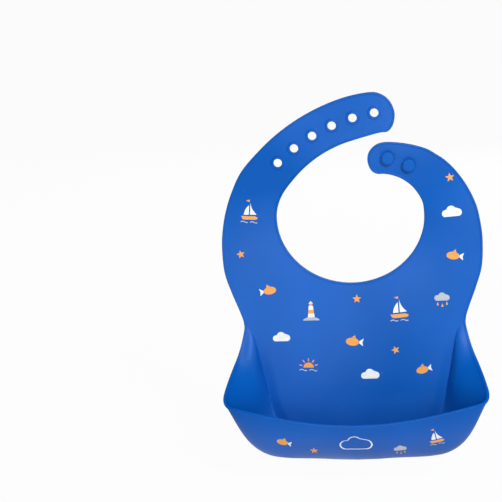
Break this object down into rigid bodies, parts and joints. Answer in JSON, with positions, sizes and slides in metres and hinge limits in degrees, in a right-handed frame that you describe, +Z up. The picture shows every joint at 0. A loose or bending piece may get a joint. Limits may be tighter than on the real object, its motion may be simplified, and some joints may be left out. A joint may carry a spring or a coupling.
{
  "type": "silicone bib",
  "caption": "Soft silicone bib with a button collar, a row of strap holes and a wide open catch pocket along its lower edge.",
  "frame": {"origin": "centre of the neck opening, in the middle of the sheet's thickness", "axes": "+X to the viewer's right, +Y out of the back, towards the child, +Z up towards the straps"},
  "size_m": [0.2214, 0.0529, 0.3113],
  "materials": {
    "silicone": "satin moulded silicone",
    "ink_orange": "matte silicone ink",
    "ink_white": "matte silicone ink",
    "ink_grey": "matte silicone ink"
  },
  "bodies": {
    "chest": {"chest_panel": "silicone", "chest_edge_bead": "silicone"},
    "hole_strap": {"hole_strap_root": "silicone", "hole_strap_root_bead": "silicone"},
    "hole_strap_end": {"hole_strap_tip": "silicone", "hole_strap_tip_bead": "silicone"},
    "stud_strap": {"stud_strap_root": "silicone", "stud_strap_root_bead": "silicone"},
    "stud_strap_end": {"stud_strap_tip": "silicone", "stud_strap_tip_bead": "silicone", "inner_stud": "silicone", "outer_stud": "silicone"},
    "pocket": {"belly_panel": "silicone", "belly_edge_bead": "silicone", "left_gusset": "silicone", "right_gusset": "silicone", "pocket_floor": "silicone", "pocket_front_wall": "silicone", "pocket_lip_bead": "silicone"}
  },
  "joints": [
    {"name": "hole_strap_fold", "type": "hinge", "parent": "chest", "child": "hole_strap", "pos_m": [-0.0825, 0, 0.006], "axis": [-1, 0, 0], "range_deg": [-30, 100], "stiffness_Nm_per_rad": 0.06},
    {"name": "hole_strap_curl", "type": "hinge", "parent": "hole_strap", "child": "hole_strap_end", "pos_m": [-0.02127, 0, 0.07328], "axis": [-0.434, 0, 0.9009], "range_deg": [-30, 60], "stiffness_Nm_per_rad": 0.02},
    {"name": "stud_strap_fold", "type": "hinge", "parent": "chest", "child": "stud_strap", "pos_m": [0.0825, 0, 0.006], "axis": [-1, 0, 0], "range_deg": [-30, 100], "stiffness_Nm_per_rad": 0.06},
    {"name": "stud_strap_curl", "type": "hinge", "parent": "stud_strap", "child": "stud_strap_end", "pos_m": [0.0656, 0, 0.03395], "axis": [-0.7944, 0, -0.6073], "range_deg": [-30, 60], "stiffness_Nm_per_rad": 0.02},
    {"name": "belly_fold", "type": "hinge", "parent": "chest", "child": "pocket", "pos_m": [0, 0, -0.078], "axis": [-1, 0, 0], "range_deg": [-90, 75], "stiffness_Nm_per_rad": 0.2}
  ]
}
